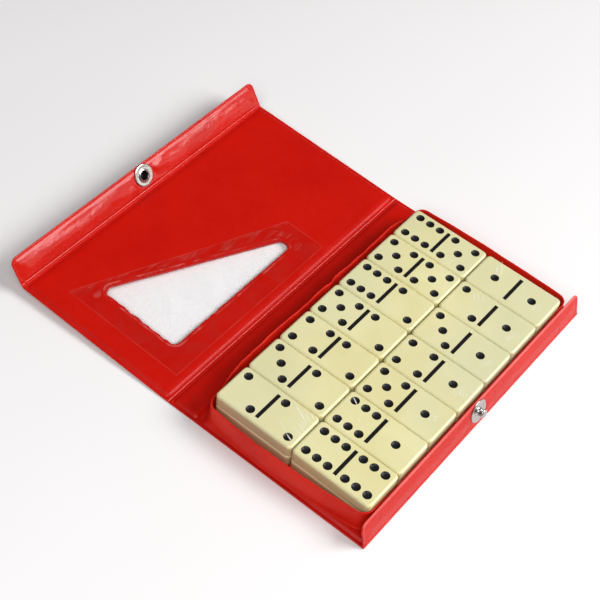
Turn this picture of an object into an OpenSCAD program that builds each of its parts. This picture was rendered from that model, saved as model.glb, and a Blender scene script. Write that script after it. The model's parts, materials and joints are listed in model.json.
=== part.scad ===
// Set of double-six dominoes in its folding vinyl wallet, open on a table.
//
// The wallet is one long red vinyl case, heat welded round stiff card: front strip, base,
// spine, lid and snap flap, joined by thin welded fold lines. An upright vinyl band on the
// base makes the tray, and 28 tiles stand in it in two layers of two columns and seven rows.
//
// X runs along the spine, Y from the front strip towards the lid, Z up.
// The origin is the centre of the base's underside. Millimetres.

/* [Tiles] */
// Length of a tile
tile_l = 38.6; // [30:0.1:50]
// Width of a tile
tile_w = 19.8; // [16:0.1:26]
// Thickness of a tile
tile_t = 6.8; // [5:0.1:10]
// Radius of a tile's upright corners
tile_corner_r = 2; // [1.4:0.1:3]
// Radius of a tile's top and bottom edges
tile_edge_r = 1.1; // [0.4:0.1:1.3]
// Radius of a pip at the face
pip_r = 1.95; // [1.2:0.05:2.4]
// Depth of a pip
pip_depth = 0.7; // [0.3:0.05:1.2]
// Distance of the outer pips from the middle of their half, along the tile
pip_along = 5.4; // [4.2:0.1:6.5]
// Distance of the outer pips from the middle of their half, across the tile
pip_across = 5.9; // [4.2:0.1:6.5]
// Length of the dividing bar
bar_l = 14.6; // [8:0.1:15.6]
// Width of the dividing bar
bar_w = 1.7; // [0.8:0.1:2.4]
// Depth of the dividing bar
bar_depth = 0.45; // [0.2:0.05:1]

/* [Stack] */
// Gap between neighbouring rows
row_gap = 0.2; // [0.1:0.05:0.6]
// Gap between the two columns
column_gap = 0.5; // [0.2:0.05:1]
// How far the stack stands from the middle of the tray, along the spine
stack_shift = -1.4; // [-1.6:0.1:1.6]

/* [Tray] */
// Height of the tray band above the base
tray_h = 11.2; // [8:0.1:13]
// Thickness of the tray band
tray_wall = 0.7; // [0.5:0.05:1.2]
// Inside radius of the tray's corners
tray_corner_r = 4; // [2.5:0.1:6]
// Room for the stack along the spine, both ends together
tray_end_play = 5.2; // [4:0.1:10]
// Room for the stack across, on each side
tray_side_play = 0.35; // [0.2:0.05:1]
// Base left outside the band at each end
end_margin = 5.8; // [2.5:0.1:8]

/* [Cover] */
// Thickness of one vinyl skin
skin_t = 0.3; // [0.2:0.05:0.5]
// Thickness of the card in the base, spine and lid
board_t = 0.8; // [0.6:0.05:1.6]
// Thickness of the foam in the flap and front strip
foam_t = 0.4; // [0.3:0.05:0.8]
// Width of the weld along the cover's outer edges
edge_weld = 1.8; // [1.2:0.1:3]
// Width of the weld on each side of a fold line
fold_weld = 1.5; // [1.2:0.1:2.5]
// Corner radius of the base and lid
panel_corner_r = 1.2; // [0.6:0.1:3]
// Corner radius of the flap and front strip
flap_corner_r = 3.4; // [2:0.1:5]

/* [Folding] */
// Angle that the lid rises from the table at rest
lid_rise = 2.5; // [0:0.1:6]
// Angle that the flap stands up from the lid at rest
flap_rise = 56; // [30:1:70]
// Angle that the front strip leans in from upright
strip_lean = 15; // [10:0.5:18]
// Room between the tiles and the closed lid
lid_clearance = 0.2; // [0.2:0.05:1]
// Room between the band and the closed spine, and between the band and the front strip
band_clearance = 0.25; // [0.15:0.05:0.6]

/* [Snap] */
// Radius of the stud's and socket's discs
snap_r = 5.3; // [4:0.1:6.4]
// Radius of the cap on the outside of the flap
cap_r = 5.7; // [4.5:0.1:6.9]
// Radius of the stud's head
stud_head_r = 2; // [1.5:0.05:2.4]
// Height of the stud's head above the front strip
stud_h = 3.4; // [2.6:0.1:4.1]
// Room in the cap above the stud's head
cap_room = 0.5; // [0.2:0.05:1]
// Vinyl left between the front fold and the stud's disc
stud_margin = 1.8; // [1.5:0.1:2.5]
// Vinyl left between the stud's disc and the front strip's upper edge
strip_margin = 0.2; // [0:0.1:2]
// Thickness of the stud's disc
stud_disc_t = 0.5; // [0.3:0.05:0.6]
// Thickness of the socket's ring
socket_t = 0.8; // [0.5:0.05:1]
// Clearance of the stud in the socket, all round and between the discs
snap_clearance = 0.2; // [0.1:0.05:0.3]

/* [Window] */
// Length of the window along the spine
window_l = 77; // [40:0.5:90]
// Height of the window, from the spine towards the flap
window_h = 41; // [25:0.5:45]
// Radius of the window's corners
window_r = 3.3; // [2:0.1:5]
// Clear film left round the window
film_margin = 10.5; // [6:0.1:12]
// Thickness of the clear film
film_t = 0.2; // [0.1:0.05:0.4]
// Distance of the film from the lid's end
film_inset_end = 11.5; // [5:0.1:20]
// Distance of the film from the lid's fold line
film_inset_fold = 5.7; // [3:0.1:8]

/* [Hidden] */
$fn = 48;
// Gap between two panels at their fold line
fold_gap = 0.2;
// Length by which a cut passes the surface it cuts
cut = 1;
// Least room between a corner tile and the tray's corner
corner_clearance = 0.1;
// Panel lengths that come from angles are rounded to this
grid = 0.01;

// Tiles of the top layer, far end first, as [half by the spine, half by the front]
TOP_SPINE = [[6, 5], [5, 5], [6, 2], [5, 2], [4, 2], [3, 2], [2, 2]];
TOP_FRONT = [[1, 1], [2, 1], [3, 1], [4, 1], [5, 1], [6, 1], [6, 6]];
// Tiles of the bottom layer: the rest of the double-six set
LOW_SPINE = [[0, 0], [1, 0], [2, 0], [3, 0], [4, 0], [5, 0], [6, 0]];
LOW_FRONT = [[3, 3], [4, 3], [5, 3], [6, 3], [4, 4], [5, 4], [6, 4]];
// One list per column, as [layer, side, faces]: side 1 is by the spine, side -1 by the front
COLUMNS = [[0, 1, LOW_SPINE], [0, -1, LOW_FRONT], [1, 1, TOP_SPINE], [1, -1, TOP_FRONT]];
TILES = [for (c = COLUMNS) for (row = [0 : len(c[2]) - 1]) [c[0], c[1], row, c[2][row]]];

rows = len(TOP_SPINE);
pitch = tile_w + row_gap;
stack_l = rows * pitch - row_gap;
stack_w = 2 * tile_l + column_gap;
weld_t = 2 * skin_t;
panel_t = 2 * skin_t + board_t;
flap_t = 2 * skin_t + foam_t;
stack_top = panel_t + 2 * tile_t;

stud_up = snap_r + stud_margin;
strip_h = stud_up + snap_r + strip_margin;

// The tray's corners are no rounder than the corner tiles allow
corner_x = tile_corner_r + tray_end_play / 2 - abs(stack_shift);
corner_y = tile_corner_r + tray_side_play;
corner_gap = tile_corner_r + corner_clearance;
corner_sum = corner_x + corner_y - corner_gap;
corner_limit = corner_sum
    + sqrt(max(0, corner_sum * corner_sum - corner_x * corner_x - corner_y * corner_y + corner_gap * corner_gap));
tray_r = min(tray_corner_r, corner_limit);

tray_l = stack_l + tray_end_play + 2 * tray_wall;
tray_w = stack_w + 2 * tray_side_play + 2 * tray_wall;
cover_l = tray_l + 2 * end_margin;

// Distances of the two base folds from the middle of the tray
strip_reach = rounded(strip_h * sin(strip_lean) + (flap_t - weld_t) * cos(strip_lean));
front_from_tray = tray_w / 2 + band_clearance + strip_reach;
spine_from_tray = tray_w / 2 + band_clearance + panel_t - weld_t;
base_w = front_from_tray + spine_from_tray;
front_fold = -base_w / 2;
spine_fold = base_w / 2;
stack_y = front_fold + front_from_tray;

// The closed lid lies this far above the base, and its flap hangs along the front strip
spine_w = 2 * (panel_t - weld_t) + 2 * tile_t + lid_clearance;
snap_space = stud_disc_t + snap_clearance + socket_t;
flap_offset = flap_t + snap_space;
flap_setback = rounded((spine_w * sin(strip_lean) - flap_offset) / cos(strip_lean));
flap_drop = rounded(flap_setback * sin(strip_lean) + spine_w * cos(strip_lean));
lid_w = base_w - flap_setback;
lid_fold = spine_fold + spine_w;
socket_up = flap_drop - stud_up;
flap_h = socket_up + snap_r;
window_x = -cover_l / 2 + film_inset_end + film_margin;
window_y = film_inset_fold + film_margin;

function rounded(v) = round(v / grid) * grid;
function tile_name(t) = str("tile_", min(t[3]), "_", max(t[3]));
function sphere_r(mouth_r, depth) = (mouth_r * mouth_r + depth * depth) / (2 * depth);

// ---------- Shared shapes ----------

// Flat outline, l long in X, from y0 to y1, with its corners rounded by r0 at y0 and r1 at y1
module outline(l, y0, y1, r0, r1) {
    translate([-l / 2, y0 + r0])
        square([l, y1 - y0 - r0 - r1]);
    for (end = [[y0, y0 + r0, r0], [y1 - r1, y1 - r1, r1]]) {
        translate([-l / 2 + end[2], end[0]])
            square([l - 2 * end[2], end[2]]);
        for (side = [-1, 1])
            translate([side * (l / 2 - end[2]), end[1]])
                circle(r = end[2]);
    }
}

// Panel's outer vinyl: flat, and welded to the inner one round its edge
module outer_skin(y0, y1, r0, r1) {
    color("#cf1414")
        linear_extrude(skin_t)
            outline(cover_l, y0, y1, r0, r1);
}

// Card or foam of a panel, core_t thick, inside the welds
module core(core_t, y0, y1, weld1) {
    translate([0, 0, skin_t])
        linear_extrude(core_t)
            outline(cover_l - 2 * edge_weld, y0 + fold_weld, y1 - weld1, panel_corner_r, panel_corner_r);
}

// Panel's inner vinyl: it rises over the core and comes down to the weld
module inner_skin(core_t, y0, y1, r0, r1, weld1) {
    color("#c01010")
        difference() {
            union() {
                translate([0, 0, skin_t])
                    linear_extrude(skin_t)
                        outline(cover_l, y0, y1, r0, r1);
                translate([0, 0, skin_t])
                    linear_extrude(core_t + skin_t)
                        outline(cover_l - 2 * edge_weld + 2 * skin_t, y0 + fold_weld - skin_t,
                            y1 - weld1 + skin_t, panel_corner_r + skin_t, panel_corner_r + skin_t);
            }
            translate([0, 0, skin_t - cut])
                linear_extrude(core_t + cut)
                    outline(cover_l - 2 * edge_weld, y0 + fold_weld, y1 - weld1, panel_corner_r, panel_corner_r);
        }
}

// ---------- Where each panel lies ----------

module in_spine() {
    translate([0, spine_fold, 0])
        children();
}

module in_lid() {
    translate([0, lid_fold, weld_t])
        rotate([lid_rise, 0, 0])
            translate([0, 0, -weld_t])
                children();
}

module in_flap() {
    in_lid()
        translate([0, lid_w, weld_t])
            rotate([flap_rise, 0, 0])
                translate([0, 0, -weld_t])
                    children();
}

module in_strip() {
    translate([0, front_fold, weld_t])
        rotate([-90 - strip_lean, 0, 0])
            rotate([0, 0, 180])
                translate([0, 0, -weld_t])
                    children();
}

// ---------- Base and tray ----------

base_y0 = front_fold + fold_gap / 2;
base_y1 = spine_fold - fold_gap / 2;

module base_outer_skin() {
    outer_skin(base_y0, base_y1, panel_corner_r, panel_corner_r);
}

module base_board() {
    color("#b9a184")
        core(board_t, base_y0, base_y1, fold_weld);
}

module base_inner_skin() {
    inner_skin(board_t, base_y0, base_y1, panel_corner_r, panel_corner_r, fold_weld);
}

module tray_band() {
    color("#d92323")
        translate([0, stack_y, panel_t])
            linear_extrude(tray_h)
                difference() {
                    outline(tray_l, -tray_w / 2, tray_w / 2, tray_r + tray_wall, tray_r + tray_wall);
                    outline(tray_l - 2 * tray_wall, -tray_w / 2 + tray_wall, tray_w / 2 - tray_wall,
                        tray_r, tray_r);
                }
}

// ---------- Spine ----------

spine_y0 = fold_gap / 2;
spine_y1 = spine_w - fold_gap / 2;

module spine_outer_skin() {
    in_spine()
        outer_skin(spine_y0, spine_y1, panel_corner_r, panel_corner_r);
}

module spine_board() {
    color("#b9a184")
        in_spine()
            core(board_t, spine_y0, spine_y1, fold_weld);
}

module spine_inner_skin() {
    in_spine()
        inner_skin(board_t, spine_y0, spine_y1, panel_corner_r, panel_corner_r, fold_weld);
}

// ---------- Lid with its window ----------

lid_y0 = fold_gap / 2;
lid_y1 = lid_w - fold_gap / 2;

// Right-angled triangle with rounded corners, its square corner nearest the lid's end and fold
module window_cut() {
    r = window_r;
    tip_x = window_l - r;
    tip_y = window_h - r;
    slant = atan((tip_y - r) / (tip_x - r));
    translate([window_x, window_y, -cut])
        linear_extrude(panel_t + 2 * cut) {
            for (p = [[r, r], [tip_x, r], [r, tip_y]])
                translate(p)
                    circle(r = r);
            polygon([[r, r], [tip_x, r], [r, tip_y]]);
            translate([r, 0])
                square([tip_x - r, r]);
            translate([0, r])
                square([r, tip_y - r]);
            translate([tip_x, r])
                rotate(90 - slant)
                    square([r, (tip_y - r) / sin(slant)]);
        }
}

module lid_outer_skin() {
    in_lid()
        difference() {
            outer_skin(lid_y0, lid_y1, panel_corner_r, panel_corner_r);
            window_cut();
        }
}

module lid_board() {
    color("#b9a184")
        in_lid()
            difference() {
                core(board_t, lid_y0, lid_y1, fold_weld);
                window_cut();
            }
}

module lid_inner_skin() {
    in_lid()
        difference() {
            inner_skin(board_t, lid_y0, lid_y1, panel_corner_r, panel_corner_r, fold_weld);
            window_cut();
        }
}

// Clear film on the lid's inner face, cut as a four-sided patch that follows the window
module window_film() {
    tall = window_h + 2 * film_margin;
    long = window_l + 2 * film_margin;
    short = 2 * film_margin;
    color("#f4f4f4", 0.4)
        in_lid()
            translate([window_x - film_margin, window_y - film_margin, panel_t])
                linear_extrude(film_t)
                    polygon([[0, 0], [long, 0], [long, short], [0, tall]]);
}

// ---------- Flap and the snap's socket ----------

flap_y0 = fold_gap / 2;
bore_r = stud_head_r + snap_clearance;
barrel_r = bore_r + 0.6;

module flap_hole() {
    translate([0, socket_up, -cut])
        cylinder(r = barrel_r, h = flap_t + 2 * cut);
}

module flap_outer_skin() {
    in_flap()
        difference() {
            outer_skin(flap_y0, flap_h, panel_corner_r, flap_corner_r);
            flap_hole();
        }
}

module flap_foam() {
    color("#e8e0d0")
        in_flap()
            difference() {
                core(foam_t, flap_y0, flap_h, edge_weld);
                flap_hole();
            }
}

module flap_inner_skin() {
    in_flap()
        difference() {
            inner_skin(foam_t, flap_y0, flap_h, panel_corner_r, flap_corner_r, edge_weld);
            flap_hole();
        }
}

// Ring on the flap's inner face, with a barrel through the flap
module snap_socket() {
    lip = socket_t / 2;
    color("#c9ccd0")
        in_flap()
            translate([0, socket_up, 0])
                difference() {
                    union() {
                        cylinder(r = barrel_r, h = flap_t);
                        translate([0, 0, flap_t])
                            cylinder(r = snap_r, h = lip);
                        translate([0, 0, flap_t + lip])
                            cylinder(r1 = snap_r, r2 = snap_r - lip, h = lip);
                    }
                    translate([0, 0, -cut])
                        cylinder(r = bore_r, h = flap_t + socket_t + 2 * cut);
                }
}

// Domed cap on the flap's outer face, hollow for the stud's head
module snap_cap() {
    cap_wall = 0.4;
    cap_h = stud_h - snap_space - flap_t + cap_room + cap_wall;
    rim_t = 0.4;
    color("#c9ccd0")
        in_flap()
            translate([0, socket_up, 0])
                difference() {
                    rotate_extrude()
                        polygon([[0, 0], [cap_r, 0], [cap_r, -rim_t], [cap_r - 0.8, -cap_h / 2],
                            [cap_r - 2.2, -cap_h + 0.2], [barrel_r - 0.4, -cap_h], [0, -cap_h]]);
                    translate([0, 0, -cap_h + cap_wall])
                        cylinder(r = bore_r, h = cap_h);
                }
}

// ---------- Front strip and the snap's stud ----------

strip_y0 = fold_gap / 2;
eyelet_r = 1.1;

module strip_hole() {
    translate([0, stud_up, -cut])
        cylinder(r = eyelet_r, h = flap_t + 2 * cut);
}

module strip_outer_skin() {
    in_strip()
        difference() {
            outer_skin(strip_y0, strip_h, panel_corner_r, flap_corner_r);
            strip_hole();
        }
}

module strip_foam() {
    color("#e8e0d0")
        in_strip()
            difference() {
                core(foam_t, strip_y0, strip_h, edge_weld);
                strip_hole();
            }
}

module strip_inner_skin() {
    in_strip()
        difference() {
            inner_skin(foam_t, strip_y0, strip_h, panel_corner_r, flap_corner_r, edge_weld);
            strip_hole();
        }
}

// Disc with a necked post, on the strip's outer face
module snap_stud() {
    neck_r = stud_head_r - 0.3;
    head_h = 1.1;
    color("#c9ccd0")
        in_strip()
            translate([0, stud_up, 0])
                rotate([180, 0, 0])
                    difference() {
                        union() {
                            cylinder(r = snap_r, h = stud_disc_t);
                            cylinder(r = neck_r, h = stud_h - head_h);
                            translate([0, 0, stud_h - head_h])
                                cylinder(r1 = stud_head_r, r2 = stud_head_r - 0.1, h = head_h / 2);
                            translate([0, 0, stud_h - head_h / 2])
                                cylinder(r1 = stud_head_r - 0.1, r2 = neck_r - 0.4, h = head_h / 2);
                        }
                        translate([0, 0, -cut])
                            cylinder(r = eyelet_r, h = stud_h - head_h + cut);
                    }
}

// Rivet that holds the stud: a flange on the strip's inner face and a shank into the post
module snap_eyelet() {
    flange_r = 4;
    flange_t = 0.4;
    color("#c9ccd0")
        in_strip()
            translate([0, stud_up, 0]) {
                translate([0, 0, flap_t])
                    cylinder(r = flange_r, h = flange_t);
                translate([0, 0, -stud_disc_t])
                    cylinder(r = eyelet_r, h = flap_t + stud_disc_t);
            }
}

// ---------- Tiles ----------

// Rectangle a by b with its corners rounded by r
module rounded_section(a, b, r) {
    outline(a, -b / 2, b / 2, r, r);
}

// Slab with rounded upright corners and rounded top and bottom edges, standing on z = 0
module tile_blank() {
    r = tile_corner_r;
    e = tile_edge_r;
    translate([0, 0, tile_t / 2]) {
        rotate([90, 0, 0])
            translate([0, 0, -tile_l / 2 + r])
                linear_extrude(tile_l - 2 * r)
                    rounded_section(tile_w, tile_t, e);
        rotate([90, 0, 90])
            translate([0, 0, -tile_w / 2 + r])
                linear_extrude(tile_w - 2 * r)
                    rounded_section(tile_l, tile_t, e);
        for (x = [-1, 1])
            for (y = [-1, 1])
                translate([x * (tile_w / 2 - r), y * (tile_l / 2 - r), 0])
                    rotate_extrude()
                        intersection() {
                            rounded_section(2 * r, tile_t, e);
                            translate([0, -tile_t])
                                square([2 * r, 2 * tile_t]);
                        }
    }
}

// Places of n pips in one half, as [across, along] from the middle of the half
function pips(n) =
    let (a = pip_across, b = pip_along)
    concat(
        n % 2 == 1 ? [[0, 0]] : [],
        n >= 2 ? [[a, b], [-a, -b]] : [],
        n >= 4 ? [[-a, b], [a, -b]] : [],
        n == 6 ? [[a, 0], [-a, 0]] : []
    );

module pip() {
    ball_r = sphere_r(pip_r, pip_depth);
    translate([0, 0, tile_t + ball_r - pip_depth])
        sphere(r = ball_r);
}

// One tile, with its pips and its dividing bar cut into the upper face
module tile(t) {
    color("#eee6c4")
        translate([stack_shift + ((rows - 1) / 2 - t[2]) * pitch,
                stack_y + t[1] * (tile_l + column_gap) / 2, panel_t + t[0] * tile_t])
            difference() {
                tile_blank();
                translate([-bar_l / 2, -bar_w / 2, tile_t - bar_depth])
                    cube([bar_l, bar_w, bar_depth + cut]);
                for (half = [0, 1])
                    for (p = pips(t[3][half]))
                        translate([p[0], (1 - 2 * half) * tile_l / 4 + p[1], 0])
                            pip();
            }
}

base_outer_skin();
base_board();
base_inner_skin();
tray_band();
spine_outer_skin();
spine_board();
spine_inner_skin();
lid_outer_skin();
lid_board();
lid_inner_skin();
window_film();
flap_outer_skin();
flap_foam();
flap_inner_skin();
snap_socket();
snap_cap();
strip_outer_skin();
strip_foam();
strip_inner_skin();
snap_stud();
snap_eyelet();
for (t = TILES) tile(t);
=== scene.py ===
"""Domino set in its open folding vinyl wallet: the looks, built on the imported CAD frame.

Sizes in this file are millimetres in the CAD's frame, and are turned into metres when a mesh is made.
"""
import json
import math

import bpy
import numpy as np
from mathutils import Matrix, Vector, noise
from mathutils.geometry import delaunay_2d_cdt


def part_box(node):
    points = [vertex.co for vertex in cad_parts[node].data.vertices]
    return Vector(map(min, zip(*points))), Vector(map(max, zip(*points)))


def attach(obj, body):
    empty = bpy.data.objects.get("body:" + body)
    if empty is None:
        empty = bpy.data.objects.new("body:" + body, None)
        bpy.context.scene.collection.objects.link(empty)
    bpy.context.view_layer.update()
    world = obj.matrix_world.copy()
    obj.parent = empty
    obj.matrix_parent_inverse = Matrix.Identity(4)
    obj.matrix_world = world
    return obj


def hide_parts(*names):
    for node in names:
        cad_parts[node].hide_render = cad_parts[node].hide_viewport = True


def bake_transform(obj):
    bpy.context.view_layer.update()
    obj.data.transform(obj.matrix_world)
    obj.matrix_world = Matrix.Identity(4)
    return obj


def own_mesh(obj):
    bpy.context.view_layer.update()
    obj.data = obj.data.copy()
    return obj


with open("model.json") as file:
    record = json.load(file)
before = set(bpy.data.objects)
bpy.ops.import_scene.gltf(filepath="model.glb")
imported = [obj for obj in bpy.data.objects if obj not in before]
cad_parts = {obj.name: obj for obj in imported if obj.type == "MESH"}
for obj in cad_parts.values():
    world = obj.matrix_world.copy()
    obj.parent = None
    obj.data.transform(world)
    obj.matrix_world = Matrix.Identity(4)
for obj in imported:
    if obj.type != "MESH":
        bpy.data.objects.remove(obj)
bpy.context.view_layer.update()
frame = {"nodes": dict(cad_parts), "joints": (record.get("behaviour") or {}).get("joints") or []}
nodes = frame["nodes"]
MM = 0.001

# ---------- Sizes shared with the CAD ----------

PANEL_T = 1.4
FLAP_T = 1.0
WELD_T = 0.6
EDGE_WELD = 1.8
FOLD_WELD = 1.5
PANEL_R = 1.2
FLAP_R = 3.4
LID_RISE = 2.5
FLAP_RISE = 56.0
STRIP_LEAN = 15.0
TRAY_R = 4.35
TRAY_WALL = 0.6

joints = {j["name"]: j for j in frame["joints"]}


def mm_box(node):
    """The CAD node's box in millimetres."""
    low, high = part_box(node)
    return np.array(low) / MM, np.array(high) / MM


def hinge(name):
    """The hinge's place as (y, z) in millimetres."""
    return joints[name]["pos_m"][1] / MM, joints[name]["pos_m"][2] / MM


LENGTH = mm_box("base_outer_skin")[1][0] * 2
FRONT_Y = hinge("front_strip_fold")[0]
SPINE_Y = hinge("spine_fold")[0]
LID_Y = hinge("lid_fold")[0]
FLAP_Y, FLAP_Z = hinge("flap_fold")
BASE_W = SPINE_Y - FRONT_Y
SPINE_W = LID_Y - SPINE_Y
LID_W = math.hypot(FLAP_Y - LID_Y, FLAP_Z - WELD_T)


def placed(y, z, tilt, turned=False):
    """Matrix of a panel folded at (y, z), in millimetres: u runs along X, v away from the fold."""
    m = Matrix.Translation((0, y, z)) @ Matrix.Rotation(math.radians(tilt), 4, "X")
    if turned:
        m = m @ Matrix.Rotation(math.pi, 4, "Z")
    return m @ Matrix.Translation((0, 0, -WELD_T))


AT = {
    "base": placed(FRONT_Y, WELD_T, 0),
    "spine": placed(SPINE_Y, WELD_T, 0),
    "lid": placed(LID_Y, WELD_T, LID_RISE),
    "flap": placed(FLAP_Y, FLAP_Z, LID_RISE + FLAP_RISE),
    "front_strip": placed(FRONT_Y, WELD_T, -90 - STRIP_LEAN, True),
}


def local(body, node):
    """The CAD node's box in its panel's own coordinates, in millimetres."""
    inverse = AT[body].inverted()
    points = np.array([inverse @ (v.co / MM) for v in nodes[node].data.vertices])
    return points.min(0), points.max(0)


FLAP_H = local("flap", "flap_outer_skin")[1][1]
STRIP_H = local("front_strip", "strip_outer_skin")[1][1]
SOCKET = local("flap", "snap_socket")
STUD = local("front_strip", "snap_stud")
SOCKET_V = (SOCKET[0][1] + SOCKET[1][1]) / 2
STUD_V = (STUD[0][1] + STUD[1][1]) / 2
WINDOW_U, WINDOW_V, WINDOW_L, WINDOW_H, WINDOW_R = -57.0, 16.2, 77.0, 41.0, 3.3
FILM_MARGIN = 10.5
FILM_T = 0.2

# ---------- Small maths ----------


def smooth(t):
    t = np.clip(t, 0, 1)
    return t * t * (3 - 2 * t)


def fractal(u, v, size, seed, octaves=3):
    """Smooth noise from about -1 to 1 over arrays u and v, with features of that size in millimetres."""
    out = np.empty(len(u))
    for i, (a, b) in enumerate(zip(u, v)):
        total, gain, scale = 0.0, 1.0, 1.0 / size
        for _ in range(octaves):
            total += gain * noise.noise(Vector((a * scale, b * scale, seed)))
            gain *= 0.5
            scale *= 2.0
        out[i] = total
    return out


def inside_box(u, v, u1, v0, v1, r):
    """Distance inside a rounded rectangle of half length u1, from v0 to v1; negative outside."""
    cu, cv = u1 - r, (v1 - v0) / 2 - r
    du = np.abs(u) - cu
    dv = np.abs(v - (v0 + v1) / 2) - cv
    outside = np.hypot(np.maximum(du, 0), np.maximum(dv, 0))
    return r - outside - np.minimum(np.maximum(du, dv), 0)


def to_segment(u, v, a, b):
    """Distance from points to the segment a-b."""
    ab = np.array(b, float) - np.array(a, float)
    t = np.clip(((u - a[0]) * ab[0] + (v - a[1]) * ab[1]) / (ab @ ab), 0, 1)
    return np.hypot(u - a[0] - t * ab[0], v - a[1] - t * ab[1])


WINDOW_CORNERS = [
    (WINDOW_U + WINDOW_R, WINDOW_V + WINDOW_R),
    (WINDOW_U + WINDOW_L - WINDOW_R, WINDOW_V + WINDOW_R),
    (WINDOW_U + WINDOW_R, WINDOW_V + WINDOW_H - WINDOW_R),
]


def from_window(u, v):
    """Distance outside the lid's window; negative inside it."""
    a, b, c = WINDOW_CORNERS
    near = np.minimum(np.minimum(to_segment(u, v, a, b), to_segment(u, v, b, c)), to_segment(u, v, c, a))

    def side(p, q):
        return (q[0] - p[0]) * (v - p[1]) - (q[1] - p[1]) * (u - p[0])

    within = (side(a, b) > 0) & (side(b, c) > 0) & (side(c, a) > 0)
    return np.where(within, -near, near) - WINDOW_R


def box_loop(u1, v0, v1, r0, r1, step):
    """Outline of a rectangle with corners rounded by r0 at v0 and r1 at v1, as a closed list of points."""
    corners = [
        (u1 - r0, v0 + r0, r0, -90),
        (u1 - r1, v1 - r1, r1, 0),
        (-u1 + r1, v1 - r1, r1, 90),
        (-u1 + r0, v0 + r0, r0, 180),
    ]
    points = []
    for cu, cv, r, start in corners:
        count = max(3, int(r * math.pi / 2 / min(step, 0.7)))
        for k in range(count + 1):
            angle = math.radians(start + 90 * k / count)
            points.append((cu + r * math.cos(angle), cv + r * math.sin(angle)))
    return filled(points, step)


def filled(points, step):
    """A closed list of points with more put in where neighbours are further apart than step."""
    out = []
    for k, p in enumerate(points):
        q = points[(k + 1) % len(points)]
        gap = math.hypot(q[0] - p[0], q[1] - p[1])
        if gap < 1e-6:
            continue
        count = max(1, int(math.ceil(gap / step)))
        out += [(p[0] + (q[0] - p[0]) * i / count, p[1] + (q[1] - p[1]) * i / count) for i in range(count)]
    return out


def window_loop(step, grow=0.0, ragged=0.0):
    """The window's outline, grown outwards, with a slightly uneven cut."""
    r = WINDOW_R + grow
    points = []
    for k, (cu, cv) in enumerate(WINDOW_CORNERS):
        before = WINDOW_CORNERS[k - 1]
        after = WINDOW_CORNERS[(k + 1) % 3]
        start = math.atan2(cv - before[1], cu - before[0]) - math.pi / 2
        end = math.atan2(after[1] - cv, after[0] - cu) - math.pi / 2
        turn = (end - start) % (2 * math.pi)
        count = max(4, int(turn * r / 0.5))
        for i in range(count + 1):
            angle = start + turn * i / count
            points.append((cu + r * math.cos(angle), cv + r * math.sin(angle)))
    points = filled(points, step)
    if ragged:
        centre = np.mean(WINDOW_CORNERS, axis=0)
        moved = []
        for p in points:
            shift = ragged * noise.noise(Vector((p[0] * 0.45, p[1] * 0.45, 3.0)))
            away = np.array(p) - centre
            moved.append(tuple(np.array(p) + away / np.linalg.norm(away) * shift))
        points = moved
    return points


# ---------- Meshes ----------


def new_object(name, verts, faces, materials, body=None):
    """A smooth-shaded mesh object from points in millimetres."""
    mesh = bpy.data.meshes.new(name)
    mesh.from_pydata([tuple(float(c) * MM for c in p) for p in verts], [], faces)
    mesh.validate()
    mesh.polygons.foreach_set("use_smooth", [True] * len(mesh.polygons))
    for m in materials:
        mesh.materials.append(m)
    mesh.update()
    obj = bpy.data.objects.new(name, mesh)
    bpy.context.scene.collection.objects.link(obj)
    if body:
        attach(obj, body)
    return obj


def triangulated(loops, inner, keep):
    """Points and triangles between closed loops, through the inner points; keep tells which centres stay."""
    points, edges = [], []
    for loop in loops:
        first = len(points)
        points += loop
        edges += [(first + k, first + (k + 1) % len(loop)) for k in range(len(loop))]
    points += inner
    out = delaunay_2d_cdt([Vector(p) for p in points], edges, [], 0, 1e-5)
    uv = np.array([tuple(p) for p in out[0]])
    tris = np.array([f for f in out[2] if len(f) == 3])
    centres = uv[tris].mean(1)
    tris = tris[keep(centres[:, 0], centres[:, 1])]
    a, b, c = uv[tris[:, 0]], uv[tris[:, 1]], uv[tris[:, 2]]
    area = (b[:, 0] - a[:, 0]) * (c[:, 1] - a[:, 1]) - (b[:, 1] - a[:, 1]) * (c[:, 0] - a[:, 0])
    tris[area < 0] = tris[area < 0][:, ::-1]
    return uv, tris[np.abs(area) > 1e-7]


def closed_slab(name, uv, tris, top, bottom, matrix, materials, body):
    """Closed mesh between a bottom and a top height over one triangulation."""
    count = len(uv)
    used = np.unique(tris)
    edge_count = {}
    for t in tris:
        for k in range(3):
            e = (int(t[k]), int(t[(k + 1) % 3]))
            edge_count[e] = edge_count.get(e, 0) + 1
    rim = [e for e in edge_count if (e[1], e[0]) not in edge_count]
    flat = np.vstack([np.c_[uv, top], np.c_[uv, bottom]])
    verts = [matrix @ Vector(p) for p in flat]
    faces = [tuple(int(i) for i in t) for t in tris]
    faces += [tuple(int(i) + count for i in t[::-1]) for t in tris]
    faces += [(a, a + count, b + count, b) for a, b in rim]
    remap = {}
    for i in sorted(set(used) | set(used + count)):
        remap[int(i)] = len(remap)
    verts = [verts[i] for i in remap]
    faces = [tuple(remap[i] for i in f) for f in faces]
    obj = new_object(name, verts, faces, materials, body)
    obj.data.set_sharp_from_angle(angle=math.radians(50))
    return obj


def grid_points(u1, v0, v1, step, keep):
    """Staggered points inside a rectangle, where keep says so."""
    rows = int((v1 - v0) / (step * 0.87))
    points = []
    for r in range(rows + 1):
        v = v0 + (v1 - v0) * r / max(rows, 1)
        shift = step / 2 if r % 2 else 0
        points += [(u, v) for u in np.arange(-u1 + shift, u1, step)]
    points = np.array(points)
    return [tuple(p) for p in points[keep(points[:, 0], points[:, 1])]]


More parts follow.
